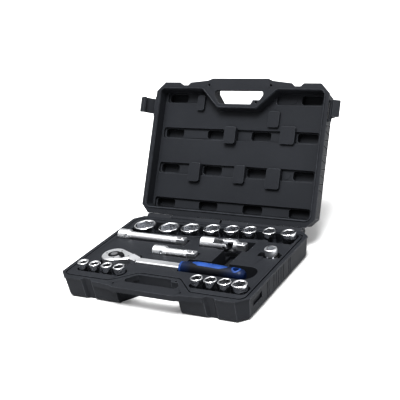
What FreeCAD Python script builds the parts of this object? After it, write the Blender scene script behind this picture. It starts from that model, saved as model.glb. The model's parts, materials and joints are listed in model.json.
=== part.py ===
"""Half-inch drive socket wrench set in a moulded carrying case, shown with the lid open.

Millimetres, +Z up. The origin is the middle of the base's underside, +X runs along the hinge
and +Y points from the carrying handle to the hinge.
"""
import FreeCAD, Part
import math
import os

# Case halves
case_width = 360.0
case_depth = 256.0
base_height = 40.0
lid_height = 39.0
front_corner = 18.0
back_corner = 16.0
wall_draft = 7.0
edge_rounding = 8.0
lip_proud = 1.0
lip_height = 2.6
shell_floor = 1.5
tray_draft = 2.0
lid_skin = 3.0

# Carrying handle, its opening and the padlock tab
handle_reach = 8.0
handle_flat_half = 58.0
handle_shoulder_half = 68.0
handle_shoulder_reach = 4.0
handle_root_half = 105.0
handle_thickness = 9.5
handle_bar_depth = 22.0
opening_depth = 26.0
opening_front_half = 57.6
opening_back_half = 38.5
opening_corner = 7.0
foot_front_half = 60.0
foot_back_half = 41.0
tab_left = 27.0
tab_right = 49.0
tab_reach = 8.0
tab_hole_diameter = 4.0
locating_hole_offset = 64.5
locating_hole_setback = 4.7
locating_hole_diameter = 4.0
locating_hole_depth = 5.0

# Sealing groove of the base and bead of the lid
seal_side_inset = 8.0
seal_end_inset = 11.2
seal_width = 2.0
seal_depth = 2.5
seal_bead_height = 1.6
seal_handle_front_half = 77.0
seal_handle_back_half = 40.0
seal_handle_gap = 6.5
seal_corner = 12.0

# Moulded wall details
flute_offset = 117.0
flute_mouth = 23.0
flute_floor = 12.0
flute_depth = 5.5
rib_groove_width = 2.8
rib_groove_depth = 2.0
rib_groove_margin = 5.0
base_rib_places = (-46.0, -40.0, -22.0, -13.0, -4.0, 5.0, 14.0, 36.0, 42.0)
lid_rib_first = -56.0
lid_rib_pitch = 13.0
lid_rib_count = 10
lid_rib_lean = 5.0

# Hinge
hinge_setback = 6.0
hinge_root = 3.0
hinge_drop = 2.0
hinge_open_angle = 120.0
hinge_place = 81.0
hinge_knuckle_radius = 5.0
hinge_pin_radius = 2.0
hinge_lid_knuckle_width = 52.0
hinge_ear_width = 52.6
hinge_side_gap = 0.4
hinge_stop_reach = 13.0
running_clearance = 0.05
part_gap = 0.3

# Latches
latch_place = -81.0
latch_width = 29.0
latch_length = 26.0
latch_thickness = 3.5
latch_pivot_height = 8.0
latch_pivot_out = 2.6
latch_pivot_radius = 3.2
latch_pin_radius = 1.5
latch_ear_width = 4.0
latch_hook_reach = 7.0
latch_hook_height = 4.0
latch_rest_angle = 45.0
catch_margin = 1.0

# Lid interior, depths from the rim
lid_cavity_margin = 1.6
lid_cavity_corner = 7.0
lid_panel_depth = 18.0
lid_band_depth = 22.5
lid_pocket_depth = 34.0
lid_pocket_length = 40.0
lid_pocket_width = 16.5
lid_pocket_corner = 5.0
lid_band_width = 21.0
lid_pocket_inner = 46.6
lid_pocket_outer = 139.7
lid_row_places = (104.6, 36.5, -32.2, -101.3)
lid_front_band_left = (-163.0, -92.0)
lid_front_band_right = (72.0, 163.0)
lid_pads = (
    (-92.0, -68.0, 24.0, 60.0, 10.5),
    (4.0, 26.0, 24.0, 58.0, 12.5),
    (70.0, 98.0, 26.0, 64.0, 12.5),
    (-25.0, -1.0, -47.0, -15.0, 9.0),
    (88.0, 117.0, -52.0, -19.0, 13.5),
    (60.5, 82.5, -79.0, -49.0, 13.5),
    (-92.6, -77.0, -106.0, -77.0, 12.5),
)
pad_corner = 4.0

# Fit of the tools in the tray
pocket_gap = 0.6
seat_gap = 0.3
trough_depth = 16.0
trough_margin = 1.2
trough_corner = 9.0
back_trough_front_left = 55.2
back_trough_front_right = 82.6
back_trough_step_place = 118.0
back_trough_step_front = 76.0

# Square drive
drive_square = 12.7
drive_length = 16.0
drive_corner_diameter = 16.6
drive_chamfer = 1.2
drive_hole_gap = 0.15
detent_place = 9.0
drive_hole_depth = 17.0
detent_ball_radius = 2.6
detent_ball_proud = 0.9
detent_hole_radius = 2.7

# Sockets: place along X, place along Y, outer diameter, hexagon across flats, top above rim, length
back_sockets = (
    (-134.0, 84.0, 42.0, 32.0, 5.0, 42.0),
    (-82.0, 84.5, 40.0, 30.0, 5.0, 42.0),
    (-38.5, 89.0, 37.0, 27.0, 6.0, 40.0),
    (4.3, 93.0, 33.5, 24.0, 7.5, 40.0),
    (42.7, 96.0, 30.5, 22.0, 8.5, 38.0),
    (77.5, 97.5, 28.0, 21.0, 9.5, 38.0),
    (115.0, 98.8, 26.0, 19.0, 10.5, 38.0),
    (150.7, 98.4, 27.0, 18.0, 11.5, 38.0),
)
left_sockets = (
    (-148.3, -88.5, 20.0, 10.0, 11.5, 38.0),
    (-124.3, -88.5, 20.0, 11.0, 11.5, 38.0),
    (-99.0, -88.5, 20.0, 12.0, 11.5, 38.0),
    (-74.4, -88.5, 20.5, 13.0, 11.5, 38.0),
)
right_sockets = (
    (76.8, -89.5, 21.5, 14.0, 11.5, 38.0),
    (101.8, -89.5, 22.0, 15.0, 11.5, 38.0),
    (127.2, -89.5, 22.5, 16.0, 11.5, 38.0),
    (153.1, -89.5, 25.5, 17.0, 11.5, 38.0),
)
socket_neck_limit = 30.0
socket_waist_step = 0.4
socket_mouth_band = 12.0
socket_edge = 1.0
socket_hex_share = 0.55
socket_wall = 2.0
socket_lead_in = 1.2
socket_rim = 0.8
socket_detent_radius = 2.6

# Ratchet handle
ratchet_line = -44.7
ratchet_axis_drop = 1.0
head_place = -114.5
head_diameter = 44.0
head_thickness = 23.5
head_top_above_rim = 8.5
head_edge = 1.5
cover_thickness = 3.0
cover_diameter = 37.0
cover_screw_radius = 1.6
cover_screw_circle = 15.4
cover_screw_turns = (60, 180, 300)
shank_width = 16.0
shank_thickness = 9.0
shank_neck_width = 25.0
shank_neck_length = 32.0
nose_length = 35.0
nose_width = 18.0
nose_slope_length = 14.0
nose_lift = 3.0
nose_pin_place = 30.0
shank_edge = 2.5
tang_length = 70.0
tang_radius = 4.2
grip_start = 19.7
grip_end = 139.0
grip_start_radius = 10.6
grip_belly_radius = 13.2
grip_tail_radius = 11.2
grip_belly_place = 58.0
collar_length = 4.5
inlay_start = 39.5
inlay_end = 113.0
inlay_width = 13.0
inlay_depth = 3.5
inlay_taper = 17.0
inlay_corner = 2.5
hang_hole_place = 124.0
hang_hole_radius = 5.0
hang_ring_radius = 8.0
hang_ring_depth = 4.5
gear_teeth = 36
gear_outer_radius = 11.2
gear_tooth_depth = 1.1
gear_thickness = 10.0
gear_journal_radius = 8.8
chamber_gap = 0.4
pawl_offset = 13.9
pawl_half_length = 4.8
pawl_half_thickness = 1.7
pawl_tooth = 1.4
pawl_rock_angle = 6.0
lever_length = 12.0
lever_width = 6.5
lever_thickness = 3.2
lever_boss_radius = 3.6
lever_stem_radius = 1.6
lever_rest_angle = -35.0
button_radius = 6.0
button_proud = 0.8
button_travel = 1.5
button_stem_radius = 2.2
button_stem_length = 8.0
button_recess_radius = 11.0
button_recess_depth = 1.2

# Extension bars: far left end, right end, line along Y, axis above rim
long_extension = (-160.0, -20.0, 39.8, 2.0)
short_extension = (-59.0, 25.0, -1.9, 0.5)
extension_socket_diameter = 21.5
extension_socket_length = 22.0
extension_shaft_diameter = 15.0
extension_taper = 5.0
extension_collar_length = 6.0
extension_pin_place = 18.5
extension_pin_rise = 0.4

# Universal joint
joint_left = 9.0
joint_line = 47.5
joint_axis_above_rim = 0.5
joint_diameter = 23.0
joint_female_length = 27.0
joint_cross_place = 57.0
joint_cross_size = 12.6
joint_arm_thickness = 4.2
joint_arm_radius = 5.6
joint_pin_radius = 2.4
joint_male_hub_radius = 9.0
joint_male_hub_length = 7.0
joint_male_bevel = 3.0
joint_male_gap = 15.5

# Drive adapter
adapter_place = (149.3, 31.2)
adapter_top_above_rim = 13.0
adapter_ring_diameter = 21.5
adapter_ring_height = 13.0
adapter_waist_diameter = 15.5
adapter_waist_height = 5.0
adapter_flange_diameter = 20.0
adapter_flange_height = 4.0
adapter_notch = (126.0, 166.5, 24.0, 38.0)

# Tray pockets beside the tools
ratchet_pocket_right = 154.0
ratchet_pocket_back = -15.4
ratchet_pocket_front_gap = 0.9
ratchet_pocket_floor = 14.0
ratchet_pocket_corner = 20.0
head_recess_right = -77.0
finger_channel = (61.0, 94.5)
finger_channel_floor = 14.0
extension_end_room = 2.0
joint_end_room = 8.0
joint_pocket_front = 14.5
joint_swing_room = 8.5
swing_pit_left = 47.0
swing_pit_front = 30.5
swing_pit_floor = 20.0

rim = base_height
half_width = case_width / 2
half_depth = case_depth / 2
hinge_y = half_depth + hinge_setback
hinge_z = rim - hinge_drop
draft_slope = math.tan(math.radians(wall_draft))


def at(x, y, z):
    return FreeCAD.Vector(x, y, z)


X_AXIS = at(1, 0, 0)
Y_AXIS = at(0, 1, 0)
Z_AXIS = at(0, 0, 1)


def face_of(points):
    """Flat face through a closed run of points."""
    return Part.Face(Part.makePolygon([at(*p) for p in points] + [at(*points[0])]))


def prism(outline, bottom, top):
    """Upright prism over an outline of (x, y) points."""
    return face_of([(x, y, bottom) for x, y in outline]).extrude(at(0, 0, top - bottom))


def side_prism(profile, start, end):
    """Prism along Y of an outline of (x, z) points."""
    return face_of([(x, start, z) for x, z in profile]).extrude(at(0, end - start, 0))


def cross_prism(profile, start, end):
    """Prism along X of an outline of (y, z) points."""
    return face_of([(start, y, z) for y, z in profile]).extrude(at(end - start, 0, 0))


def block(left, right, front, back, bottom, top):
    return Part.makeBox(right - left, back - front, top - bottom, at(left, front, bottom))


def rod(radius, start, end):
    """Cylinder between two points."""
    along = end - start
    return Part.makeCylinder(radius, along.Length, start, along)


def upright(x, y, radius, bottom, top):
    return Part.makeCylinder(radius, top - bottom, at(x, y, bottom))


def inset(outline, distance):
    """Outline moved inwards by a distance, for points that run anticlockwise."""
    moved = []
    for i, (x, y) in enumerate(outline):
        before = outline[i - 1]
        after = outline[(i + 1) % len(outline)]
        first = unit(x - before[0], y - before[1])
        second = unit(after[0] - x, after[1] - y)
        turn = 1 + first[0] * second[0] + first[1] * second[1]
        moved.append((x - (first[1] + second[1]) * distance / turn,
                      y + (first[0] + second[0]) * distance / turn))
    return moved


def unit(x, y):
    length = math.hypot(x, y)
    return x / length, y / length


def rounded_block(left, right, front, back, bottom, top, corner):
    """Block with rounded upright edges."""
    solid = block(left, right, front, back, bottom, top)
    return solid.makeFillet(corner, upright_edges(solid))


def upright_edges(solid):
    """Straight edges of a solid that run along Z or nearly so."""
    edges = []
    for edge in solid.Edges:
        run = edge.Vertexes[-1].Point - edge.Vertexes[0].Point
        if abs(run.z) > 0.9 * edge.Length:
            edges.append(edge)
    return edges


def rounded_prism(outline, bottom, top, corner):
    solid = prism(outline, bottom, top)
    return solid.makeFillet(corner, upright_edges(solid))


def turned(profile, base, axis):
    """Solid turned about an axis; the profile is (radius, distance along the axis)."""
    points = [at(radius, 0, along) for radius, along in profile]
    wire = Part.makePolygon(points + [points[0]])
    solid = Part.Face(wire).revolve(at(0, 0, 0), Z_AXIS, 360)
    solid.Placement = FreeCAD.Placement(base, FreeCAD.Rotation(Z_AXIS, axis))
    return solid


def fuse(solids):
    return solids[0].multiFuse(solids[1:]).removeSplitter()


def one_solid(shape):
    """The single solid of a result that must be one piece."""
    solids = shape.Solids
    assert len(solids) == 1, len(solids)
    return solids[0]


# Case halves: both are described by their depth from the rim plane, side -1 below it and +1 above

handle_front = -half_depth - handle_reach
bar_back = handle_front + handle_bar_depth
opening_back = bar_back + opening_depth
through = 2.0


def level(side, depth):
    """Height at a depth from a half's own rim; the closed lid's rim lies just above the base's."""
    return rim - depth if side < 0 else rim + part_gap + depth


def slab(outline, near, far, side):
    """Prism between two depths from the rim plane."""
    low, high = sorted((level(side, near), level(side, far)))
    return prism(outline, low, high)


def drafted(outline, near, far, side, taper):
    """Tapered solid that shrinks from one depth to another."""
    wires = []
    for depth, shrink in ((near, 0.0), (far, taper)):
        points = [at(x, y, level(side, depth)) for x, y in inset(outline, shrink)]
        wires.append(Part.makePolygon(points + [points[0]]))
    return Part.makeLoft(wires, True, True)


def case_outline():
    """Rim of either half without the handle's bulge, anticlockwise."""
    w = half_width
    d = half_depth
    return [(-w + front_corner, -d), (w - front_corner, -d), (w, -d + front_corner), (w, d - back_corner),
            (w - back_corner, d), (-w + back_corner, d), (-w, d - back_corner), (-w, -d + front_corner)]


def handle_outline():
    """Bulge of the carrying handle, anticlockwise."""
    right = [(handle_flat_half, handle_front),
             (handle_shoulder_half, -half_depth - handle_shoulder_reach),
             (handle_root_half, -half_depth), (handle_root_half, bar_back)]
    return [(-x, y) for x, y in reversed(right)] + right


def seal_outline():
    """Centre line of the sealing groove and bead, anticlockwise."""
    side = half_width - seal_side_inset
    end = half_depth - seal_end_inset
    notch = opening_back + seal_handle_gap
    return [(-side, -end), (-seal_handle_front_half, -end), (-seal_handle_back_half, notch),
            (seal_handle_back_half, notch), (seal_handle_front_half, -end), (side, -end),
            (side, end), (-side, end)]


def seal_ring(width, near, far, side):
    """Ring of a given width along the seal's centre line."""
    low, high = sorted((level(side, near), level(side, far)))
    outer = rounded_prism(inset(seal_outline(), -width / 2), low, high, seal_corner)
    inner = rounded_prism(inset(seal_outline(), width / 2), low, high, seal_corner)
    return outer.cut(inner)


def drafted_body(height, side):
    """Solid half: walls lean in by the draft and round into the far face."""
    outline = inset(case_outline(), lip_proud)
    lean = math.radians(wall_draft)
    start = height - edge_rounding * (1 - math.sin(lean))
    middle = start * draft_slope + edge_rounding * math.cos(lean)
    sections = [(0.0, 0.0)]
    steps = 4
    for step in range(steps):
        turn = lean + (math.pi / 2 - lean) * step / (steps - 1)
        sections.append((height - edge_rounding * (1 - math.sin(turn)),
                         middle - edge_rounding * math.cos(turn)))
    wires = []
    for depth, shrink in sections:
        points = [at(x, y, level(side, depth)) for x, y in inset(outline, shrink)]
        wires.append(Part.makePolygon(points + [points[0]]))
    return Part.makeLoft(wires, True, True)


def flute(centre, height, side):
    """Upright groove in the front wall, following its draft."""
    wires = []
    for depth in (-through, height + through):
        back = -half_depth + depth * draft_slope
        front = back - flute_depth
        widen = (flute_mouth - flute_floor) / 2
        points = [at(centre - flute_mouth / 2 - widen, front, level(side, depth)),
                  at(centre + flute_mouth / 2 + widen, front, level(side, depth)),
                  at(centre + flute_floor / 2, back + flute_depth, level(side, depth)),
                  at(centre - flute_floor / 2, back + flute_depth, level(side, depth))]
        wires.append(Part.makePolygon(points + [points[0]]))
    return Part.makeLoft(wires, True, True)


def wall_groove(place, lean, height, side, hand):
    """Narrow groove in a side wall, following its draft; lean moves its far end along Y."""
    wires = []
    for depth in (rib_groove_margin, height - rib_groove_margin):
        wall = half_width - lip_proud - depth * draft_slope
        shift = place + lean * (depth / height - 0.5)
        inner = hand * (wall - rib_groove_depth)
        outer = hand * (half_width + through)
        points = [at(inner, shift - rib_groove_width / 4, level(side, depth)),
                  at(outer, shift - rib_groove_width, level(side, depth)),
                  at(outer, shift + rib_groove_width, level(side, depth)),
                  at(inner, shift + rib_groove_width / 4, level(side, depth))]
        wires.append(Part.makePolygon(points + [points[0]]))
    return Part.makeLoft(wires, True, True)


def case_half(height, side):
    """Body, parting lip and handle with its opening, common to the base and the lid."""
    lip = slab(case_outline(), 0, lip_height, side)
    bar = slab(handle_outline(), 0, handle_thickness, side)
    solid = fuse([drafted_body(height, side), lip, bar])
    under_bar = [(-foot_front_half, handle_front - through), (foot_front_half, handle_front - through),
                 (foot_front_half, bar_back), (foot_back_half, opening_back),
                 (-foot_back_half, opening_back), (-foot_front_half, bar_back)]
    opening = [(-opening_front_half, bar_back), (opening_front_half, bar_back),
               (opening_back_half, opening_back), (-opening_back_half, opening_back)]
    low, high = sorted((level(side, -through), level(side, height + through)))
    cutters = [slab(under_bar, handle_thickness, height + through, side),
               rounded_prism(opening, low, high, opening_corner)]
    for hand in (-1, 1):
        cutters.append(flute(hand * flute_offset, height, side))
        hole = at(hand * locating_hole_offset, -half_depth + locating_hole_setback, level(side, -1))
        cutters.append(rod(locating_hole_diameter / 2, hole, hole + at(0, 0, side * locating_hole_depth)))
    solid = solid.cut(cutters)
    tab = [(tab_left, opening_back + 1), (tab_left + tab_reach / 2, opening_back - tab_reach),
           (tab_right - tab_reach / 2, opening_back - tab_reach), (tab_right, opening_back + 1)]
    tab_hole = at((tab_left + tab_right) / 2, opening_back - tab_reach / 2, level(side, -1))
    padlock = slab(tab, 0, handle_thickness, side)
    padlock = padlock.cut(rod(tab_hole_diameter / 2, tab_hole, tab_hole + at(0, 0, side * height)))
    return fuse([solid, padlock])


# Hinge and latches

lid_knuckle_half = hinge_lid_knuckle_width / 2
ear_inner = lid_knuckle_half + hinge_side_gap
ear_outer = ear_inner + hinge_ear_width
hinge_axis = at(0, hinge_y, hinge_z)


def hinge_ears(place):
    """Two ears on the base that carry the pin and stop the lid when it is open."""
    open_turn = math.radians(hinge_open_angle)

    def stop(y):
        return (hinge_setback - part_gap + math.cos(open_turn) * y) / math.sin(open_turn)

    root = -hinge_setback - lip_proud - hinge_root
    crown = 0.8 * hinge_knuckle_radius
    profile = [(root, -3.4 * hinge_knuckle_radius), (crown / 2, -3.4 * hinge_knuckle_radius),
               (hinge_stop_reach, stop(hinge_stop_reach) - hinge_knuckle_radius),
               (hinge_stop_reach, stop(hinge_stop_reach)), (crown, stop(crown)),
               (0, hinge_knuckle_radius), (root, -hinge_drop)]
    profile = [(hinge_y + y, hinge_z + z) for y, z in profile]
    ears = []
    for low, high in ((-ear_outer, -ear_inner), (ear_inner, ear_outer)):
        ears.append(cross_prism(profile, place + low, place + high))
    return ears


def lid_knuckle(place):
    """Knuckle on the lid between the base's ears, drawn with the lid closed."""
    start = hinge_axis + at(place - lid_knuckle_half, 0, 0)
    barrel = rod(hinge_knuckle_radius, start, start + at(hinge_lid_knuckle_width, 0, 0))
    root = -hinge_setback - lip_proud - hinge_root
    foot = hinge_drop + part_gap
    profile = [(root, foot), (root, foot + 2.6 * hinge_knuckle_radius), (0, hinge_knuckle_radius),
               (0, 0), (-0.88 * hinge_knuckle_radius, foot)]
    profile = [(hinge_y + y, hinge_z + z) for y, z in profile]
    return fuse([barrel, cross_prism(profile, place - lid_knuckle_half, place + lid_knuckle_half)])


def hinge_bore():
    return rod(hinge_pin_radius + running_clearance, hinge_axis - at(half_width, 0, 0),
               hinge_axis + at(half_width, 0, 0))


def hinge_pin(place):
    start = hinge_axis + at(place - ear_outer, 0, 0)
    return rod(hinge_pin_radius, start, start + at(2 * ear_outer, 0, 0))


def open_lid(shape):
    """Turn a piece that was drawn with the lid closed to the open position."""
    return shape.rotated(hinge_axis, X_AXIS, -hinge_open_angle)


latch_half = latch_width / 2
latch_ear_inner = latch_half + hinge_side_gap


def latch_pivot(hand):
    return at(hand * (half_width + latch_pivot_out), latch_place, rim + latch_pivot_height)


def latch_ears(hand):
    """Two ears on the lid's side wall that carry a latch."""
    pivot = latch_pivot(hand)
    root = hand * (half_width - lip_proud - lid_height * draft_slope)
    solids = []
    for low in (-latch_ear_inner - latch_ear_width, latch_ear_inner):
        start = pivot + at(0, low, 0)
        barrel = rod(latch_pivot_radius, start, start + at(0, latch_ear_width, 0))
        profile = [(root, pivot.z - latch_pivot_radius), (pivot.x, pivot.z - latch_pivot_radius),
                   (pivot.x, pivot.z + latch_pivot_radius), (root, pivot.z + 2 * latch_pivot_radius)]
        solids += [barrel, side_prism(profile, start.y, start.y + latch_ear_width)]
    return solids


def latch_pin(hand):
    reach = latch_ear_inner + latch_ear_width
    pivot = latch_pivot(hand)
    return open_lid(rod(latch_pin_radius, pivot - at(0, reach, 0), pivot + at(0, reach, 0)))


def latch_bore(hand):
    reach = latch_ear_inner + latch_ear_width + through
    pivot = latch_pivot(hand)
    return rod(latch_pin_radius + running_clearance, pivot - at(0, reach, 0), pivot + at(0, reach, 0))


def latch(hand):
    """Flap with a hook that swings from the lid over the base's catch."""
    pivot = latch_pivot(hand)
    barrel = rod(latch_pivot_radius, pivot - at(0, latch_half, 0), pivot + at(0, latch_half, 0))
    inner = -latch_pivot_radius + 2.0
    outer = inner + latch_thickness
    tip = -latch_length
    profile = [(inner, 0), (inner, tip + latch_hook_height + latch_hook_height / 2),
               (inner - latch_hook_reach, tip + latch_hook_height),
               (inner - latch_hook_reach, tip), (inner, tip - 2.0), (outer + 1.2, tip - 4.0),
               (outer + 1.8, tip - 3.0), (outer, tip + 3.0), (outer, 0)]
    profile = [(pivot.x + hand * x, pivot.z + z) for x, z in profile]
    flap = side_prism(profile, latch_place - latch_half, latch_place + latch_half)
    solid = fuse([barrel, flap]).cut([latch_bore(hand)])
    return open_lid(one_solid(solid).rotated(pivot, Y_AXIS, -hand * latch_rest_angle))


def catch(hand):
    """Recess in the base's side wall for a latch's hook."""
    hook_top = rim + latch_pivot_height - latch_length + 1.5 * latch_hook_height
    hook_bottom = rim + latch_pivot_height - latch_length - 2.0
    inner = half_width + latch_pivot_out - latch_pivot_radius + 2.0 - latch_hook_reach - catch_margin
    edges = sorted((hand * inner, hand * (half_width + through)))
    return block(edges[0], edges[1], latch_place - latch_half - catch_margin,
                 latch_place + latch_half + catch_margin, hook_bottom - catch_margin, hook_top + catch_margin)


def lid_hollow(gap):
    """Space inside the lid's rim, a gap smaller all round, over the tools and for the liner."""
    depth = lid_height - lid_skin
    edge = inset(seal_outline(), lid_cavity_margin + gap)
    form = drafted(edge, -through, depth, 1, depth * draft_slope)
    return form.makeFillet(lid_cavity_corner, upright_edges(form))


def lid_shell():
    """Upper half with its sealing bead, hinge knuckles and latch ears."""
    cutters = [lid_hollow(0.0)]
    for hand in (-1, 1):
        for number in range(lid_rib_count):
            lean = lid_rib_lean if number % 2 else -lid_rib_lean
            place = lid_rib_first + number * lid_rib_pitch
            cutters.append(wall_groove(place, lean, lid_height, 1, hand))
    solid = case_half(lid_height, 1).cut(cutters)
    added = [seal_ring(seal_width - 2 * part_gap, -seal_bead_height, 1, 1)]
    for hand in (-1, 1):
        added.append(lid_knuckle(hand * hinge_place))
        added += latch_ears(hand)
    solid = fuse([solid] + added)
    solid = solid.cut([hinge_bore(), latch_bore(-1), latch_bore(1)])
    return open_lid(one_solid(solid))


def lid_liner():
    """Panel inside the lid with its bands and pockets, and the pads over the tools."""
    panel = rim + lid_panel_depth
    band = rim + lid_band_depth
    floor = rim + lid_pocket_depth
    cutters = []
    reach = lid_front_band_right[1]
    for row, place in enumerate(lid_row_places):
        front_row = row == len(lid_row_places) - 1
        spans = [lid_front_band_left, lid_front_band_right] if front_row else [(-reach, reach)]
        columns = (lid_pocket_outer,) if front_row else (lid_pocket_inner, lid_pocket_outer)
        for left, right in spans:
            cutters.append(rounded_block(left, right, place - lid_band_width / 2,
                                         place + lid_band_width / 2, panel - 1, band, lid_pocket_corner))
        for column in columns:
            for centre in (-column, column):
                cutters.append(rounded_block(
                    centre - lid_pocket_length / 2, centre + lid_pocket_length / 2,
                    place - lid_pocket_width / 2, place + lid_pocket_width / 2,
                    band - 1, floor, lid_pocket_corner))
    behind = block(-half_width, half_width, -half_depth, half_depth, panel, panel + lid_height)
    solid = lid_hollow(part_gap).common(behind).cut(cutters)
    pads = []
    for left, right, front, back, depth in lid_pads:
        pads.append(rounded_block(left, right, front, back, rim + depth, band + 1, pad_corner))
    return open_lid(one_solid(fuse([solid] + pads)))


# Square drive ends, drawn along +Z from the origin and then placed

def placed(shape, base, axis):
    moved = shape.copy()
    moved.Placement = FreeCAD.Placement(base, FreeCAD.Rotation(Z_AXIS, axis))
    return moved


def drive_end(base, axis):
    """Square drive with clipped corners, a chamfered tip and a hole for the detent ball."""
    wires = []
    for height, shrink in ((0, 0), (drive_length - drive_chamfer, 0), (drive_length, drive_chamfer)):
        half = drive_square / 2 - shrink
        corners = [at(-half, -half, height), at(half, -half, height),
                   at(half, half, height), at(-half, half, height)]
        wires.append(Part.makePolygon(corners + [corners[0]]))
    square = Part.makeLoft(wires, True, True)
    square = square.common(Part.makeCylinder(drive_corner_diameter / 2, drive_length))
    return placed(square.cut([detent_pit()]), base, axis)


def detent_pit():
    half = drive_square / 2
    depth = 2 * detent_ball_radius - detent_ball_proud + running_clearance
    return rod(detent_hole_radius, at(-half - 1, 0, detent_place), at(-half + depth, 0, detent_place))


def detent_ball(base, axis):
    middle = -drive_square / 2 - detent_ball_proud + detent_ball_radius
    return placed(Part.makeSphere(detent_ball_radius, at(middle, 0, detent_place)), base, axis)


def drive_hole(base, axis, depth):
    """Square hole that takes a drive end."""
    width = drive_square + 2 * drive_hole_gap
    square = Part.makeBox(width, width, depth + through, at(-width / 2, -width / 2, -through))
    clip = Part.makeCylinder(drive_corner_diameter / 2 + drive_hole_gap, depth + through, at(0, 0, -through))
    return placed(square.common(clip), base, axis)


# Sockets stand on their drive ends with the hexagon upwards

def socket(x, y, diameter, flats, top_above_rim, length):
    mouth = diameter / 2
    neck = min(mouth - socket_waist_step, socket_neck_limit / 2)
    hex_depth = socket_hex_share * length
    corner = flats / 2 / math.cos(math.pi / 6)
    band = length - socket_mouth_band
    if neck < corner + socket_wall:
        band = length - hex_depth - socket_wall
    profile = [(0, 0), (neck - socket_edge, 0), (neck, socket_edge), (neck, band - (mouth - neck)),
               (mouth, band), (mouth, length - socket_edge), (mouth - socket_edge, length), (0, length)]
    turns = [number * math.pi / 3 for number in range(6)]
    hexagon = [(corner * math.cos(turn), corner * math.sin(turn)) for turn in turns]
    lead = max(corner + socket_lead_in / 2, mouth - socket_edge - socket_rim)
    lead_start = length - (lead - flats / 2) / math.sqrt(3)
    cone = [(0, lead_start), (flats / 2, lead_start), (lead, length), (0, length)]
    cutters = [prism(hexagon, length - hex_depth, length + through),
               turned(cone, at(0, 0, 0), Z_AXIS),
               drive_hole(at(0, 0, 0), Z_AXIS, length - hex_depth + 1),
               rod(socket_detent_radius, at(0, 0, detent_place), at(0, -diameter, detent_place))]
    solid = one_solid(turned(profile, at(0, 0, 0), Z_AXIS).cut(cutters))
    return solid.translated(at(x, y, rim + top_above_rim - length))


# Ratchet handle

ratchet_axis = rim - ratchet_axis_drop
head_top = rim + head_top_above_rim
head_bottom = head_top - head_thickness
head_radius = head_diameter / 2
cover_bottom = head_top - cover_thickness
gear_top = cover_bottom - part_gap
gear_bottom = gear_top - gear_thickness
chamber_floor = gear_bottom - part_gap
chamber_radius = gear_outer_radius + chamber_gap
pawl_x = head_place + pawl_offset
pawl_bottom = chamber_floor + part_gap
tang_end = grip_start + tang_length
collar_end = grip_start + collar_length


def shank_outline(grow):
    """Plan of the shank and the neck that fairs it into the head."""
    neck = shank_neck_width / 2 + grow
    half = shank_width / 2 + grow
    neck_end = head_place + shank_neck_length
    right = [(head_place, ratchet_line - neck), (neck_end, ratchet_line - half),
             (grip_start, ratchet_line - half)]
    return right + [(x, 2 * ratchet_line - y) for x, y in reversed(right)]


def head_nose(grow, bottom, top):
    """Part of the head that narrows from the gear's housing to the shank, sloping at its end."""
    lean = math.asin((head_diameter - nose_width) / 2 / nose_length)
    start = head_place + head_radius * math.sin(lean)
    end = head_place + nose_length
    foot = end + nose_slope_length
    lower = ratchet_axis - shank_thickness / 2
    upper = ratchet_axis + shank_thickness / 2
    front = [(head_place, -head_radius * math.cos(lean) - grow), (start, -head_radius * math.cos(lean) - grow),
             (end, -nose_width / 2 - grow), (foot + grow, -shank_width / 2 - grow)]
    plan = front + [(x, -y) for x, y in reversed(front)]
    profile = [(head_place, bottom), (end, bottom), (foot + grow, lower), (foot + grow, upper),
               (end, top), (head_place, top)]
    column = prism([(x, ratchet_line + y) for x, y in plan], bottom, top)
    return column.common(side_prism(profile, ratchet_line - head_diameter, ratchet_line + head_diameter))


def head_disc(radius, bottom, top):
    return upright(head_place, ratchet_line, radius, bottom, top)


def ratchet_body():
    """Forged head, shank and tang, with the gear chamber and pawl pocket open to the cover."""
    centre = at(head_place, ratchet_line, head_bottom)
    rim_radius = head_radius - head_edge
    head = turned([(0, 0), (rim_radius, 0), (head_radius, head_edge),
                   (head_radius, head_thickness - head_edge), (rim_radius, head_thickness),
                   (0, head_thickness)], centre, Z_AXIS)
    shank = prism(shank_outline(0), ratchet_axis - shank_thickness / 2, ratchet_axis + shank_thickness / 2)
    long_edges = [edge for edge in shank.Edges if edge.BoundBox.XLength > shank_neck_length / 2]
    shank = shank.makeFillet(shank_edge, long_edges)
    nose = head_nose(0, head_bottom + nose_lift, head_top)
    brow = [edge for edge in nose.Edges if edge.BoundBox.ZMin > head_top - head_edge
            and edge.BoundBox.YLength < edge.BoundBox.XLength]
    nose = nose.makeChamfer(head_edge, brow)
    tang = rod(tang_radius, at(grip_start - shank_edge, ratchet_line, ratchet_axis),
               at(tang_end, ratchet_line, ratchet_axis))
    pocket_reach = pawl_offset + 1.5 * pawl_half_thickness
    pawl_pocket = block(head_place, head_place + pocket_reach, ratchet_line - chamber_radius / 1.8,
                        ratchet_line + chamber_radius / 1.8, chamber_floor, cover_bottom)
    pawl_pocket = pawl_pocket.common(head_disc(cover_diameter / 2 - chamber_gap, chamber_floor, cover_bottom))
    cutters = [head_disc(cover_diameter / 2 + running_clearance, cover_bottom, head_top + 1),
               head_disc(chamber_radius, chamber_floor, head_top),
               head_disc(gear_journal_radius + running_clearance, head_bottom - 1, head_top),
               pawl_pocket,
               upright(head_place + nose_pin_place, ratchet_line, cover_screw_radius,
                       head_top - cover_thickness, head_top + 1),
               upright(pawl_x, ratchet_line, lever_stem_radius + running_clearance,
                       chamber_floor - 2 * lever_stem_radius, cover_bottom)]
    return one_solid(fuse([head, nose, shank, tang]).cut(cutters))


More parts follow.
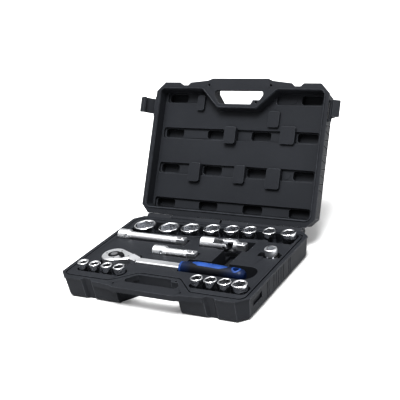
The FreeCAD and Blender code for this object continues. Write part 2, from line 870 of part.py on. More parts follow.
def head_cover():
    """Plate over the gear, with the button's recess, the lever's hole and three screw holes."""
    stem_hole = upright(pawl_x, ratchet_line, lever_stem_radius + running_clearance,
                        cover_bottom - 1, head_top + 1)
    cutters = [head_disc(button_radius + chamber_gap / 2, cover_bottom - 1, head_top + 1),
               head_disc(button_recess_radius, head_top - button_recess_depth, head_top + 1), stem_hole]
    for turn in cover_screw_turns:
        x = head_place + cover_screw_circle * math.cos(math.radians(turn))
        y = ratchet_line + cover_screw_circle * math.sin(math.radians(turn))
        cutters.append(upright(x, y, cover_screw_radius, head_top - cover_thickness / 2, head_top + 1))
    return one_solid(head_disc(cover_diameter / 2, cover_bottom, head_top).cut(cutters))


def ratchet_gear():
    """Toothed ring with its journal and the square drive below the head."""
    outline = []
    for number in range(2 * gear_teeth):
        radius = gear_outer_radius - gear_tooth_depth * (number % 2)
        turn = math.pi * number / gear_teeth
        outline.append((head_place + radius * math.cos(turn), ratchet_line + radius * math.sin(turn)))
    solids = [prism(outline, gear_bottom, gear_top),
              head_disc(gear_journal_radius, head_bottom, gear_bottom + 1),
              drive_end(at(head_place, ratchet_line, head_bottom), -Z_AXIS)]
    stem_bore = head_disc(button_stem_radius + running_clearance,
                          gear_top - button_stem_length - button_travel - part_gap, gear_top + 1)
    return one_solid(fuse(solids).cut(stem_bore))


def pawl():
    """Rocking pawl with a tooth at each end, turned so that one end meets the gear."""
    half = pawl_half_length
    outer = pawl_half_thickness
    upper = [(outer, half * 0.7), (-outer / 2, half + outer / 3), (-outer - pawl_tooth, half),
             (-outer, half / 2)]
    outline = [(x, -y) for x, y in reversed(upper)] + upper
    outline = [(pawl_x + x, ratchet_line + y) for x, y in outline]
    solid = prism(outline, pawl_bottom, gear_top)
    stem = upright(pawl_x, ratchet_line, lever_stem_radius + running_clearance, pawl_bottom - 1, gear_top + 1)
    return one_solid(solid.cut(stem)).rotated(at(pawl_x, ratchet_line, 0), Z_AXIS, pawl_rock_angle)


def reversing_lever():
    """Thumb lever on top of the head; its stem carries the pawl."""
    bottom = head_top + part_gap
    top = bottom + lever_thickness
    boss = upright(pawl_x, ratchet_line, lever_boss_radius, bottom, top)
    plan = [(0, -lever_boss_radius), (lever_length, -lever_width / 2), (lever_length, lever_width / 2),
            (0, lever_boss_radius)]
    arm = prism([(pawl_x + x, ratchet_line + y) for x, y in plan], bottom, top)
    tip = [edge for edge in upright_edges(arm) if edge.BoundBox.XMin > pawl_x + 1]
    arm = arm.makeFillet(lever_width / 3, tip)
    stem = upright(pawl_x, ratchet_line, lever_stem_radius, chamber_floor - lever_stem_radius, bottom + 1)
    return one_solid(fuse([boss, arm, stem])).rotated(at(pawl_x, ratchet_line, 0), Z_AXIS, lever_rest_angle)


def release_button():
    """Push button in the middle of the head, with a stem down the gear's bore."""
    cap_bottom = gear_top + button_travel + part_gap
    cap = head_disc(button_radius, cap_bottom, head_top + button_proud)
    stem = head_disc(button_stem_radius, gear_top - button_stem_length, cap_bottom + 1)
    return one_solid(fuse([cap, stem]))


def grip_form():
    """Turned outer form of the grip: swelling towards the thumb and rounded at the tail."""
    points = [at(grip_start_radius, 0, collar_end), at(grip_belly_radius, 0, grip_belly_place),
              at((grip_belly_radius + grip_tail_radius) / 2, 0, (grip_belly_place + hang_hole_place) / 2),
              at(grip_tail_radius, 0, hang_hole_place),
              at(0.8 * grip_tail_radius, 0, grip_end - 0.35 * grip_tail_radius),
              at(0.4 * grip_tail_radius, 0, grip_end)]
    curve = Part.BSplineCurve()
    curve.interpolate(points)
    ends = Part.makePolygon([points[-1], at(0, 0, grip_end), at(0, 0, collar_end), points[0]])
    face = Part.Face(Part.Wire([curve.toShape()] + ends.Edges))
    solid = face.revolve(at(0, 0, 0), Z_AXIS, 360)
    return placed(solid, at(0, ratchet_line, ratchet_axis), X_AXIS)


def inlay_prism(gap):
    """Upright column with tapering ends that marks out the inlay on the grip's back."""
    half = inlay_width / 2
    outline = [(inlay_start, ratchet_line), (inlay_start + inlay_taper, ratchet_line - half),
               (inlay_end - inlay_taper, ratchet_line - half), (inlay_end, ratchet_line),
               (inlay_end - inlay_taper, ratchet_line + half), (inlay_start + inlay_taper, ratchet_line + half)]
    bottom = ratchet_axis + grip_belly_radius - inlay_depth
    return rounded_prism(inset(outline, -gap), bottom, ratchet_axis + 2 * grip_belly_radius, inlay_corner)


def ring_column(radius):
    bottom = ratchet_axis + grip_tail_radius - hang_ring_depth
    return upright(hang_hole_place, ratchet_line, radius, bottom, ratchet_axis + 2 * grip_belly_radius)


def hang_hole():
    return upright(hang_hole_place, ratchet_line, hang_hole_radius, ratchet_axis - 2 * grip_belly_radius,
                   ratchet_axis + 2 * grip_belly_radius)


def tang_bore():
    return rod(tang_radius + running_clearance, at(grip_start - 1, ratchet_line, ratchet_axis),
               at(tang_end + part_gap, ratchet_line, ratchet_axis))


def grip():
    cutters = [inlay_prism(running_clearance), ring_column(hang_ring_radius + running_clearance),
               hang_hole(), tang_bore()]
    return one_solid(grip_form().cut(cutters))


def grip_inlay():
    return one_solid(grip_form().common(inlay_prism(0)))


def hang_ring():
    return one_solid(grip_form().common(ring_column(hang_ring_radius)).cut(hang_hole()))


def grip_collar():
    """Coloured collar between the shank and the grip."""
    profile = [(0, 0), (grip_start_radius - 1, 0), (grip_start_radius, 1),
               (grip_start_radius, collar_length), (0, collar_length)]
    ring = turned(profile, at(grip_start, ratchet_line, ratchet_axis), X_AXIS)
    return one_solid(ring.cut(tang_bore()))


# Extension bars, universal joint and drive adapter

def extension(left, right, line, axis_above_rim):
    base = at(left, line, rim + axis_above_rim)
    length = right - left
    socket_radius = extension_socket_diameter / 2
    shaft = extension_shaft_diameter / 2
    shoulder = length - drive_length
    collar = drive_corner_diameter / 2
    collar_start = shoulder - extension_collar_length
    profile = [(0, 0), (socket_radius - 1, 0), (socket_radius, 1), (socket_radius, extension_socket_length),
               (shaft, extension_socket_length + extension_taper), (shaft, collar_start - 1),
               (collar, collar_start), (collar, shoulder - 1),
               (collar - 1, shoulder), (0, shoulder)]
    solid = fuse([turned(profile, base, X_AXIS), drive_end(base + at(shoulder, 0, 0), X_AXIS)])
    pit = base + at(extension_pin_place, 0, 0)
    cutters = [drive_hole(base, X_AXIS, drive_hole_depth),
               rod(detent_hole_radius, pit, pit + at(0, -1, extension_pin_rise) * extension_socket_diameter)]
    return one_solid(solid.cut(cutters))


def extension_ball(left, right, line, axis_above_rim):
    return detent_ball(at(right - drive_length, line, rim + axis_above_rim), X_AXIS)


joint_axis = rim + joint_axis_above_rim
joint_radius = joint_diameter / 2
joint_centre = at(joint_cross_place, joint_line, joint_axis)
arm_inner = joint_radius - joint_arm_thickness
joint_shoulder = joint_cross_place + joint_male_gap + joint_male_hub_length
joint_right = joint_shoulder + drive_length


def joint_round(left, right):
    return rod(joint_radius, at(left, joint_line, joint_axis), at(right, joint_line, joint_axis))


def fork_arms(root, across):
    """Two arms with round ends that reach from a root to the cross, either side of it."""
    reach = across * joint_radius
    bar = block(min(root, joint_cross_place), max(root, joint_cross_place), joint_line - joint_radius,
                joint_line + joint_radius, joint_axis - joint_radius, joint_axis + joint_radius)
    other = Z_AXIS if across.y else Y_AXIS
    for sign in (-1, 1):
        bar = bar.cut(side_slab(sign * other, joint_arm_radius))
    eye = rod(joint_arm_radius, joint_centre - reach, joint_centre + reach)
    arms = fuse([bar, eye]).common(joint_round(min(root, joint_cross_place) - joint_radius,
                                               max(root, joint_cross_place) + joint_radius))
    gap = block(joint_left, joint_right, joint_line - joint_radius, joint_line + joint_radius,
                joint_axis - joint_radius, joint_axis + joint_radius)
    for sign in (-1, 1):
        gap = gap.cut(side_slab(sign * across, arm_inner))
    return arms.cut(gap).Solids


def side_slab(direction, distance):
    """Everything beyond a distance from the joint's axis on one side."""
    size = joint_right - joint_left
    slab_box = Part.makeBox(2 * size, 2 * size, size, at(-size, -size, distance))
    slab_box.Placement = FreeCAD.Placement(joint_centre, FreeCAD.Rotation(Z_AXIS, direction))
    return slab_box


def joint_bore(direction):
    reach = direction * joint_radius * 1.2
    return rod(joint_pin_radius + running_clearance, joint_centre - reach, joint_centre + reach)


def joint_female_yoke():
    base = at(joint_left, joint_line, joint_axis)
    profile = [(0, 0), (joint_radius - 1, 0), (joint_radius, 1),
               (joint_radius, joint_female_length), (0, joint_female_length)]
    arms = fork_arms(joint_left + joint_female_length - 1, Y_AXIS)
    solid = fuse([turned(profile, base, X_AXIS)] + arms)
    return one_solid(solid.cut([drive_hole(base, X_AXIS, drive_hole_depth), joint_bore(Y_AXIS)]))


def joint_male_yoke():
    start = joint_cross_place + joint_male_gap
    bevel = joint_male_bevel
    hub = turned([(0, 0), (joint_radius - bevel, 0), (joint_radius, bevel), (joint_radius, bevel + 1),
                  (joint_male_hub_radius, joint_male_hub_length - 1),
                  (joint_male_hub_radius - 1, joint_male_hub_length), (0, joint_male_hub_length)],
                 at(start, joint_line, joint_axis), X_AXIS)
    drive = drive_end(at(joint_shoulder, joint_line, joint_axis), X_AXIS)
    solid = fuse([hub, drive] + fork_arms(start + bevel, Z_AXIS))
    return one_solid(solid.cut(joint_bore(Z_AXIS)))


def joint_ball():
    return detent_ball(at(joint_shoulder, joint_line, joint_axis), X_AXIS)


def joint_cross():
    half = joint_cross_size / 2
    cube = block(joint_cross_place - half, joint_cross_place + half, joint_line - half, joint_line + half,
                 joint_axis - half, joint_axis + half)
    cube = cube.makeChamfer(1, cube.Edges)
    return one_solid(cube.cut([joint_bore(Y_AXIS), joint_bore(Z_AXIS)]))


def joint_long_pin():
    reach = Y_AXIS * (joint_radius - part_gap)
    return rod(joint_pin_radius, joint_centre - reach, joint_centre + reach)


def joint_short_pins():
    pins = []
    for sign in (-1, 1):
        inner = joint_centre + Z_AXIS * sign * (joint_pin_radius + part_gap)
        outer = joint_centre + Z_AXIS * sign * (joint_radius - part_gap)
        pins.append(rod(joint_pin_radius, inner, outer))
    return Part.makeCompound(pins)


adapter_body = adapter_ring_height + adapter_waist_height + adapter_flange_height
adapter_shoulder = rim + adapter_top_above_rim - adapter_body
adapter_bottom = adapter_shoulder - drive_length


def drive_adapter():
    """Adapter standing on its square drive, with the square hole upwards."""
    ring = adapter_ring_diameter / 2
    waist = adapter_waist_diameter / 2
    flange = adapter_flange_diameter / 2
    lower = adapter_flange_height
    upper = lower + adapter_waist_height
    profile = [(0, 0), (flange - 1, 0), (flange, 1), (flange, lower - 1), (waist, lower + 1),
               (waist, upper - 1), (ring, upper + 1), (ring, adapter_body - 1), (ring - 1, adapter_body),
               (0, adapter_body)]
    base = at(adapter_place[0], adapter_place[1], adapter_shoulder)
    top = base + at(0, 0, adapter_body)
    solid = fuse([turned(profile, base, Z_AXIS), drive_end(base, -Z_AXIS)])
    return one_solid(solid.cut(drive_hole(top, -Z_AXIS, drive_hole_depth)))


def adapter_ball():
    return detent_ball(at(adapter_place[0], adapter_place[1], adapter_shoulder), -Z_AXIS)


# Tray pockets, each cut from the top of the base down to its own floor

def pocket(left, right, front, back, floor, corner):
    return rounded_block(left, right, front, back, floor, rim + through, corner)


def socket_wells(sockets):
    wells = []
    for x, y, diameter, flats, top_above_rim, length in sockets:
        floor = rim + top_above_rim - length - seat_gap
        wells.append(upright(x, y, diameter / 2 + pocket_gap, floor, rim))
    return wells


def row_trough(sockets):
    """Rounded trough around a straight row of sockets."""
    widest = max(entry[2] for entry in sockets) / 2 + trough_margin
    left = sockets[0][0] - sockets[0][2] / 2 - trough_margin
    right = sockets[-1][0] + sockets[-1][2] / 2 + trough_margin
    line = sockets[0][1]
    return pocket(left, right, line - widest, line + widest, rim - trough_depth, trough_corner)


def back_trough():
    """Trough of the back row: its front edge slants, with a step round the last socket."""
    first = back_sockets[0]
    last = back_sockets[-1]
    left = first[0] - first[2] / 2 - trough_margin
    right = last[0] + last[2] / 2 + trough_margin
    outline = [(left, back_trough_front_left), (back_trough_step_place, back_trough_front_right),
               (back_trough_step_place + trough_corner / 2, back_trough_step_front),
               (right, back_trough_step_front), (right, last[1] + last[2] / 2 + trough_margin),
               (left, first[1] + first[2] / 2 + trough_margin)]
    return rounded_prism(outline, rim - trough_depth, rim + through, trough_corner / 3)


def extension_pocket(left, right, line, axis_above_rim):
    """Pocket with a deeper end for the extension's socket."""
    half = extension_socket_diameter / 2 + pocket_gap
    axis = rim + axis_above_rim
    end = left + extension_socket_length + extension_taper
    deep = axis - extension_socket_diameter / 2 - seat_gap
    shallow = axis - drive_corner_diameter / 2 - seat_gap
    return [pocket(left - pocket_gap, end, line - half, line + half, deep, 2),
            pocket(left - pocket_gap, right + extension_end_room, line - half, line + half, shallow, 2)]


def ratchet_pockets():
    shank_floor = ratchet_axis - shank_thickness / 2 - seat_gap
    grip_front = ratchet_line - grip_belly_radius - ratchet_pocket_front_gap
    grip_well = block(grip_start - pocket_gap, ratchet_pocket_right, grip_front, ratchet_pocket_back,
                      ratchet_pocket_floor, rim + through)
    round_end = [edge for edge in upright_edges(grip_well) if edge.BoundBox.XMin > grip_end]
    head_front = ratchet_line - head_radius - pocket_gap
    return [head_disc(head_radius + pocket_gap, head_bottom - seat_gap, rim + through),
            head_disc(drive_corner_diameter / 2 + pocket_gap + detent_ball_proud,
                      head_bottom - drive_length - seat_gap, rim),
            head_nose(pocket_gap, head_bottom + nose_lift - seat_gap, head_top),
            prism(shank_outline(pocket_gap), shank_floor, rim + through),
            grip_well.makeFillet(ratchet_pocket_corner, round_end),
            block(head_place - head_radius, head_recess_right, left_sockets[0][1], ratchet_line,
                  rim - trough_depth, rim + through)]


def joint_pockets():
    seat = joint_axis - joint_radius - seat_gap
    front = joint_line - joint_pocket_front
    back = joint_line + joint_radius + pocket_gap
    left, right = finger_channel
    return [pocket(joint_left - pocket_gap, joint_right + joint_end_room, front, back, seat, 3),
            pocket(joint_left + joint_female_length, joint_right + joint_end_room, front,
                   back + joint_swing_room, swing_pit_floor, 3),
            block(left, right, ratchet_pocket_back - 1, joint_line, finger_channel_floor, rim + through),
            block(swing_pit_left, left + 1, swing_pit_front, joint_line, swing_pit_floor, rim + through)]


def adapter_pockets():
    x, y = adapter_place
    half = adapter_ring_diameter / 2 + pocket_gap
    floor = adapter_bottom - seat_gap
    left, right, front, back = adapter_notch
    return [pocket(x - half, x + half, y - half, y + half, floor, 3),
            pocket(left, right, front, back, floor, 3)]


def tray_form(gap):
    """Block inside the sealing groove, a gap smaller all round, that the pockets are cut from."""
    depth = base_height - shell_floor
    form = drafted(inset(seal_outline(), seal_width / 2 + gap), 0, depth, -1,
                   depth * math.tan(math.radians(tray_draft)))
    return form.makeFillet(seal_corner, upright_edges(form))


def tool_tray():
    """Inner tray with a pocket for every tool."""
    cutters = [back_trough(), row_trough(left_sockets), row_trough(right_sockets)]
    for row in (back_sockets, left_sockets, right_sockets):
        cutters += socket_wells(row)
    cutters += ratchet_pockets() + joint_pockets() + adapter_pockets()
    cutters += extension_pocket(*long_extension) + extension_pocket(*short_extension)
    return one_solid(tray_form(part_gap).cut(cutters))


def tray_mouth():
    """Ledge round the tray: what the tray leaves open of it is the sealing groove."""
    return rounded_prism(inset(seal_outline(), -seal_width / 2), rim - seal_depth, rim + through, seal_corner)


def base_shell():
    """Lower half around the tool tray, with hinge ears and latch catches."""
    ears = []
    for hand in (-1, 1):
        ears += hinge_ears(hand * hinge_place)
    solid = fuse([case_half(base_height, -1)] + ears)
    cutters = [tray_form(0.0), tray_mouth(), hinge_bore()]
    for hand in (-1, 1):
        cutters.append(catch(hand))
        for place in base_rib_places:
            cutters.append(wall_groove(place, 0, base_height, -1, hand))
    return one_solid(solid.cut(cutters))


def all_nodes():
    """Every separate piece under its node's name."""
    nodes = {"base_shell": base_shell(), "tool_tray": tool_tray()}
    nodes["lid_shell"] = lid_shell()
    nodes["lid_liner"] = lid_liner()
    for name, hand in (("left", -1), ("right", 1)):
        nodes["hinge_pin_" + name] = hinge_pin(hand * hinge_place)
        nodes["latch_" + name] = latch(hand)
        nodes["latch_pin_" + name] = latch_pin(hand)
    for entry in back_sockets + left_sockets + right_sockets:
        nodes["socket_%dmm" % entry[3]] = socket(*entry)
    nodes["ratchet_body"] = ratchet_body()
    nodes["head_cover"] = head_cover()
    nodes["ratchet_gear"] = ratchet_gear()
    nodes["ratchet_ball"] = detent_ball(at(head_place, ratchet_line, head_bottom), -Z_AXIS)
    nodes["pawl"] = pawl()
    nodes["reversing_lever"] = reversing_lever()
    nodes["release_button"] = release_button()
    nodes["grip"] = grip()
    nodes["grip_inlay"] = grip_inlay()
    nodes["hang_ring"] = hang_ring()
    nodes["grip_collar"] = grip_collar()
    for name, entry in (("long", long_extension), ("short", short_extension)):
        nodes[name + "_extension"] = extension(*entry)
        nodes[name + "_extension_ball"] = extension_ball(*entry)
    nodes["joint_female_yoke"] = joint_female_yoke()
    nodes["joint_cross"] = joint_cross()
    nodes["joint_long_pin"] = joint_long_pin()
    nodes["joint_short_pins"] = joint_short_pins()
    nodes["joint_male_yoke"] = joint_male_yoke()
    nodes["joint_ball"] = joint_ball()
    nodes["drive_adapter"] = drive_adapter()
    nodes["adapter_ball"] = adapter_ball()
    return nodes


os.makedirs("parts", exist_ok=True)
for node, shape in all_nodes().items():
    shape.exportStep("parts/" + node + ".step")
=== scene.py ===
"""Looks of the socket wrench set in its moulded case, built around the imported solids."""
import json
import math

import bpy
from mathutils import Matrix, Vector

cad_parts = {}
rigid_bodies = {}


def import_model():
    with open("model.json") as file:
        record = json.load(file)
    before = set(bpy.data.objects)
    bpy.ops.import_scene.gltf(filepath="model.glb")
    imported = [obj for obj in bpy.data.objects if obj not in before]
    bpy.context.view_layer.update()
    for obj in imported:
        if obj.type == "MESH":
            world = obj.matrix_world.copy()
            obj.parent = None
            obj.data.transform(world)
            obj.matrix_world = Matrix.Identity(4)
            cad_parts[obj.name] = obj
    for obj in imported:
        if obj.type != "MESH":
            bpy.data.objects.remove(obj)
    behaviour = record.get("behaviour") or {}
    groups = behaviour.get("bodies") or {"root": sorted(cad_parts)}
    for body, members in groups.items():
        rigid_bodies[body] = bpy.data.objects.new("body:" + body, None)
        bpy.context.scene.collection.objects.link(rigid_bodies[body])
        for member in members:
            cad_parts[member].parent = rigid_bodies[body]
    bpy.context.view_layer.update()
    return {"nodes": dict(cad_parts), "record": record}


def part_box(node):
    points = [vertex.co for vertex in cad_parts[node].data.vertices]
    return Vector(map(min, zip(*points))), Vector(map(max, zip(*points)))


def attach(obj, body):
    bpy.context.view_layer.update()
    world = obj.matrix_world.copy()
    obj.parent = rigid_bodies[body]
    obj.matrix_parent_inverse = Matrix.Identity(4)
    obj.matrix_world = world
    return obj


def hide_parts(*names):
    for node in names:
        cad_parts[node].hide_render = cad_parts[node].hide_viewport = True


bl_info = {
    "name": "Socket Wrench Set",
    "version": (1, 0, 0),
    "blender": (4, 5, 0),
    "location": "View3D > Sidebar > Socket Set",
    "description": "Finishes the tools and the moulded case of a socket wrench set",
    "category": "Object",
}

for leftover in list(bpy.data.objects):
    bpy.data.objects.remove(leftover)
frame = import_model()

MM = 0.001
BODY_OF = {node: body for body, nodes in frame["record"]["behaviour"]["bodies"].items() for node in nodes}
CASE_SHELLS = ("base_shell", "tool_tray", "lid_shell", "lid_liner")
LATCHES = ("latch_left", "latch_right")
SOCKETS = tuple(sorted(node for node in BODY_OF if node.startswith("socket_")))
RATCHET_CHROME = ("ratchet_body", "head_cover")
RATCHET_STEEL = ("ratchet_gear", "pawl", "release_button")
RATCHET_DARK = ("reversing_lever",)
BARS = ("long_extension", "short_extension", "drive_adapter")
JOINT_STEEL = ("joint_female_yoke", "joint_male_yoke")
DARK_STEEL = ("joint_cross", "joint_long_pin", "joint_short_pins")
CASE_PINS = ("hinge_pin_left", "hinge_pin_right", "latch_pin_left", "latch_pin_right")
BALLS = ("ratchet_ball", "long_extension_ball", "short_extension_ball", "joint_ball", "adapter_ball")
GRIP_INSERTS = ("grip_inlay", "hang_ring", "grip_collar")

# Colour and roughness of the plain metals
PIN_STEEL = ((0.06, 0.06, 0.065), 0.34)
GEAR_STEEL = ((0.50, 0.50, 0.52), 0.22)
LEVER_STEEL = ((0.045, 0.045, 0.050), 0.34)
SCREW_STEEL = ((0.20, 0.20, 0.21), 0.30)
CROSS_STEEL = ((0.16, 0.16, 0.17), 0.30)
BALL_STEEL = ((0.62, 0.62, 0.64), 0.12)

# Roughness of the plastics and of the sockets' bores, and colours of the grip
CASE_ROUGHNESS = 0.46
CASE_EDGE_ROUGHNESS = 0.42
LATCH_ROUGHNESS = 0.36
INSERT_ROUGHNESS = 0.28
BORE_ROUGHNESS = 0.16
GRIP_TINT_SHARE = 0.35
DUST_TONE = (0.10, 0.10, 0.11, 1.0)

# Merging and rounding of the copied solids
MERGE_DISTANCE = 0.002 * MM
FLAT_DEGREES = 0.4
SHARP_DEGREES = 32.0
RING_SHARP_DEGREES = 60.0
ROUND_SEGMENTS = 2
LEVEL_FACE = 0.9
BORE_FACING = -0.25

# Ejector marks on the bands of the lid, drawn on the closed lid
HINGE_LINE = (134.0 * MM, 38.0 * MM)
LID_TURN = math.radians(-120.0)
LID_BAND_HEIGHT = 62.5 * MM
LID_MARKS = ((103.0 * MM, -101.3 * MM), (107.0 * MM, 36.5 * MM))
MARK_RADIUS = 7.2 * MM
MARK_HEIGHT = 0.5 * MM
MARK_RING = 0.9 * MM
MARK_SIDES = 48

# Washer round the release button
RING_SUNK = 0.25 * MM
RING_HEIGHT = 0.9 * MM
RING_OUTER = 10.7 * MM
RING_WIDTH = 4.2 * MM
RING_EDGE = 0.2 * MM
RING_SIDES = 64

# Screws of the head cover and pin of the neck
SCREW_CIRCLE = 15.4 * MM
SCREW_TURNS = (60.0, 180.0, 300.0)
SCREW_RADIUS = 1.5 * MM
SCREW_SUNK = 0.35 * MM
SCREW_SEAT = 1.5 * MM
SCREW_SIDES = 24
SCREW_LOBES = 6
SCREW_CHAMFER = 0.16 * SCREW_RADIUS
SCREW_CROWN = 0.12 * SCREW_RADIUS
SCREW_FACE = 0.22 * SCREW_RADIUS
SCREW_NOTCH = (0.72, 0.72, 1.0)
SCREW_NOTCH_BELOW = -0.5
SCREW_SOCKET_DEPTH = 0.5 * SCREW_RADIUS
NECK_PIN_REACH = 30.0 * MM
NECK_PIN_SEAT = 3.0 * MM
NECK_PIN_DOME = ((0.22 * SCREW_RADIUS, 0.14 * SCREW_RADIUS), (0.30 * SCREW_RADIUS, 0.08 * SCREW_RADIUS),
                 (0.25 * SCREW_RADIUS, 0.03 * SCREW_RADIUS))

# Camera, lamps and floor
CAMERA_PLACE = (0.7488, -1.0959, 0.6609)
CAMERA_RIGHT = (0.8622, 0.4881, -0.1356)
CAMERA_UP = (-0.0742, 0.3865, 0.9194)
CAMERA_BACK = (0.5012, -0.7826, 0.3694)
CAMERA_LENS = 77.23
CAMERA_SENSOR = 36.0
CAMERA_NEAR = 0.05
LAMPS = (
    ("overhead_box", (-0.35, -0.25, 1.7), 1.5, 11.0),
    ("side_box", (1.5, 0.2, 0.9), 0.7, 3.0),
)
LAMP_AIM = (0.0, 0.0, 0.05)
SUN_FROM = (0.15, -0.40, 1.0)
SUN_POWER = 3.0
SUN_SPREAD = 26.0
FLOOR_SIZE = 40.0
FLOOR_CLOUD = 300 * MM
FLOOR_SHADE = 0.995
FLOOR_ROUGHNESS = 0.9
FLOOR_SHINE = 0.1
DOME_LOW = 0.06
DOME_HIGH = 0.90


class Shade:
    """A shader socket that takes part in Python sums."""

    def __init__(self, finish, socket):
        self.finish = finish
        self.socket = socket

    def sum_of(self, operation, first, second):
        return self.finish.node("ShaderNodeMath", {"operation": operation}, {0: first, 1: second})

    def __add__(self, other):
        return self.sum_of("ADD", self, other)

    def __radd__(self, other):
        return self.sum_of("ADD", other, self)

    def __sub__(self, other):
        return self.sum_of("SUBTRACT", self, other)

    def __rsub__(self, other):
        return self.sum_of("SUBTRACT", other, self)

    def __mul__(self, other):
        return self.sum_of("MULTIPLY", self, other)

    def __rmul__(self, other):
        return self.sum_of("MULTIPLY", other, self)


class Finish:
    """A procedural material while it is being put together."""

    def __init__(self, name):
        self.material = bpy.data.materials.new(name)
        self.material.use_nodes = True
        self.tree = self.material.node_tree
        self.tree.nodes.clear()
        self.shader = self.tree.nodes.new("ShaderNodeBsdfPrincipled")
        output = self.tree.nodes.new("ShaderNodeOutputMaterial")
        self.tree.links.new(self.shader.outputs["BSDF"], output.inputs["Surface"])
        self.place = self.node("ShaderNodeTexCoord", output="Object")

    def node(self, kind, settings=None, sockets=None, output=0):
        """Adds a node: its settings first, then the values or links of its sockets."""
        node = self.tree.nodes.new(kind)
        for key, value in (settings or {}).items():
            setattr(node, key, value)
        for key, value in (sockets or {}).items():
            self.put(node.inputs[key], value)
        return Shade(self, node.outputs[output])

    def put(self, socket, value):
        if isinstance(value, Shade):
            self.tree.links.new(value.socket, socket)
        else:
            socket.default_value = value

    def set(self, **values):
        """Puts a value or a link on the shader's sockets, named with underscores for spaces."""
        for key, value in values.items():
            self.put(self.shader.inputs[key.replace("_", " ")], value)

    def noise(self, size, detail=2.0, roughness=0.5, stretch=None):
        """Noise from 0 to 1 whose grains are about size metres across."""
        place = self.place
        if stretch:
            place = self.node("ShaderNodeMapping", None, {"Vector": place, "Scale": stretch})
        return self.node("ShaderNodeTexNoise", None, {
            "Vector": place, "Scale": 1.0 / size, "Detail": detail, "Roughness": roughness})

    def ramp(self, value, low, high):
        """Value from low to high spread over 0 to 1."""
        return self.node("ShaderNodeMapRange", {"clamp": True}, {
            "Value": value, "From Min": low, "From Max": high})

    def mix(self, share, first, second):
        """Colour between two colours."""
        return self.node("ShaderNodeMix", {"data_type": "RGBA"}, {
            "Factor": share, 6: first, 7: second}, output=2)

    def bump(self, height, depth, strength=1.0):
        """Normal of a surface raised by height times depth metres."""
        return self.node("ShaderNodeBump", None, {
            "Height": height, "Distance": depth, "Strength": strength})


def colour(values, factor=1.0):
    return tuple(value * factor for value in values[:3]) + (1.0,)


def moulded_plastic(name, tone, grain_depth, roughness):
    """Fine-grained blow-moulded plastic, a little cloudy, with pale scuffs."""
    finish = Finish(name)
    grain = finish.noise(0.9 * MM, 3.0, 0.6)
    pebble = finish.noise(2.6 * MM, 2.0, 0.5)
    cloud = finish.noise(70 * MM, 3.0)
    scuff = finish.ramp(finish.noise(9 * MM, 4.0, 0.7, (1.0, 1.0, 3.0)), 0.60, 0.74)
    body = finish.mix(cloud, colour(tone, 0.86), colour(tone, 1.14))
    finish.set(
        Base_Color=finish.mix(scuff * 0.16, body, colour(tone, 2.0)),
        Roughness=roughness + 0.12 * grain - 0.06 * scuff + 0.05 * cloud,
        Specular_IOR_Level=0.14,
        Normal=finish.bump(0.7 * grain + 0.3 * pebble, grain_depth))
    return finish.material


def rubbed_and_highlit_plastic(name, tone, roughness):
    """The same plastic, paler and smoother on its rounded edges: partly wear from handling, partly a painted
    highlight standing in for the light the edges catch.
    """
    finish = Finish(name)
    rub = finish.ramp(finish.noise(14 * MM, 4.0, 0.65), 0.38, 0.68)
    grain = finish.noise(1.4 * MM, 2.0, 0.5)
    finish.set(
        # Painted highlight as well as wear: this material goes only on rounded edges and is 1.15 to 2.1
        # times paler than the case tone, in random patches.
        Base_Color=finish.mix(rub, colour(tone, 1.15), colour(tone, 2.1)),
        Roughness=roughness - 0.14 * rub + 0.05 * grain,
        Specular_IOR_Level=0.22,
        Normal=finish.bump(grain, 0.03 * MM))
    return finish.material


def polished_chrome(name, tone, roughness):
    """Bright plating with faint polishing lines, finger smears and fine scratches."""
    finish = Finish(name)
    smear = finish.ramp(finish.noise(16 * MM, 3.0, 0.6), 0.45, 0.75)
    lines = finish.noise(0.8 * MM, 2.0, 0.6, (0.15, 1.0, 1.0))
    scratch = finish.ramp(finish.noise(1.1 * MM, 2.0, 0.5, (1.0, 0.08, 1.0)), 0.70, 0.78)
    finish.set(
        Base_Color=finish.mix(smear, colour(tone), colour(tone, 0.92)),
        Metallic=1.0,
        Roughness=roughness + 0.07 * smear + 0.03 * lines + 0.10 * scratch,
        Normal=finish.bump(0.8 * lines + 0.4 * scratch, 0.012 * MM))
    return finish.material


def satin_chrome(name, tone, roughness):
    """Plated but unpolished metal of broached holes, with upright tool lines."""
    finish = Finish(name)
    lines = finish.noise(0.7 * MM, 2.0, 0.6, (1.0, 1.0, 0.06))
    cloud = finish.noise(6 * MM, 2.0)
    finish.set(
        Base_Color=finish.mix(cloud, colour(tone, 0.84), colour(tone)),
        Metallic=1.0,
        Roughness=roughness + 0.16 * lines,
        Normal=finish.bump(lines, 0.03 * MM))
    return finish.material


def worked_steel(name, tone, roughness):
    """Bare or blackened steel with tool marks."""
    finish = Finish(name)
    marks = finish.noise(1.2 * MM, 3.0, 0.7, (1.0, 1.0, 0.2))
    cloud = finish.noise(8 * MM, 2.0)
    finish.set(
        Base_Color=finish.mix(cloud, colour(tone, 0.8), colour(tone, 1.15)),
        Metallic=1.0,
        Roughness=roughness + 0.15 * marks,
        Normal=finish.bump(marks, 0.03 * MM))
    return finish.material


def grip_rubber(name, tone, tint, start, end):
    """Soft black rubber that turns to a blue tint towards both ends of the grip."""
    finish = Finish(name)
    along = finish.node("ShaderNodeSeparateXYZ", None, {"Vector": finish.place}, output="X")
    front = finish.ramp(along, start + 22 * MM, start)
    back = finish.ramp(along, end - 42 * MM, end)
    stipple = finish.noise(0.7 * MM, 2.0, 0.6)
    cloud = finish.noise(25 * MM, 2.0)
    dust = finish.ramp(finish.noise(5 * MM, 4.0, 0.7), 0.58, 0.8)
    body = finish.mix(cloud, colour(tone, 0.8), colour(tone, 1.2))
    tinted = finish.mix((front + back) * 0.75, body, colour(tint))
    finish.set(
        Base_Color=finish.mix(dust * 0.10, tinted, DUST_TONE),
        Roughness=0.36 + 0.14 * stipple + 0.08 * dust,
        Specular_IOR_Level=0.28,
        Normal=finish.bump(stipple, 0.04 * MM))
    return finish.material


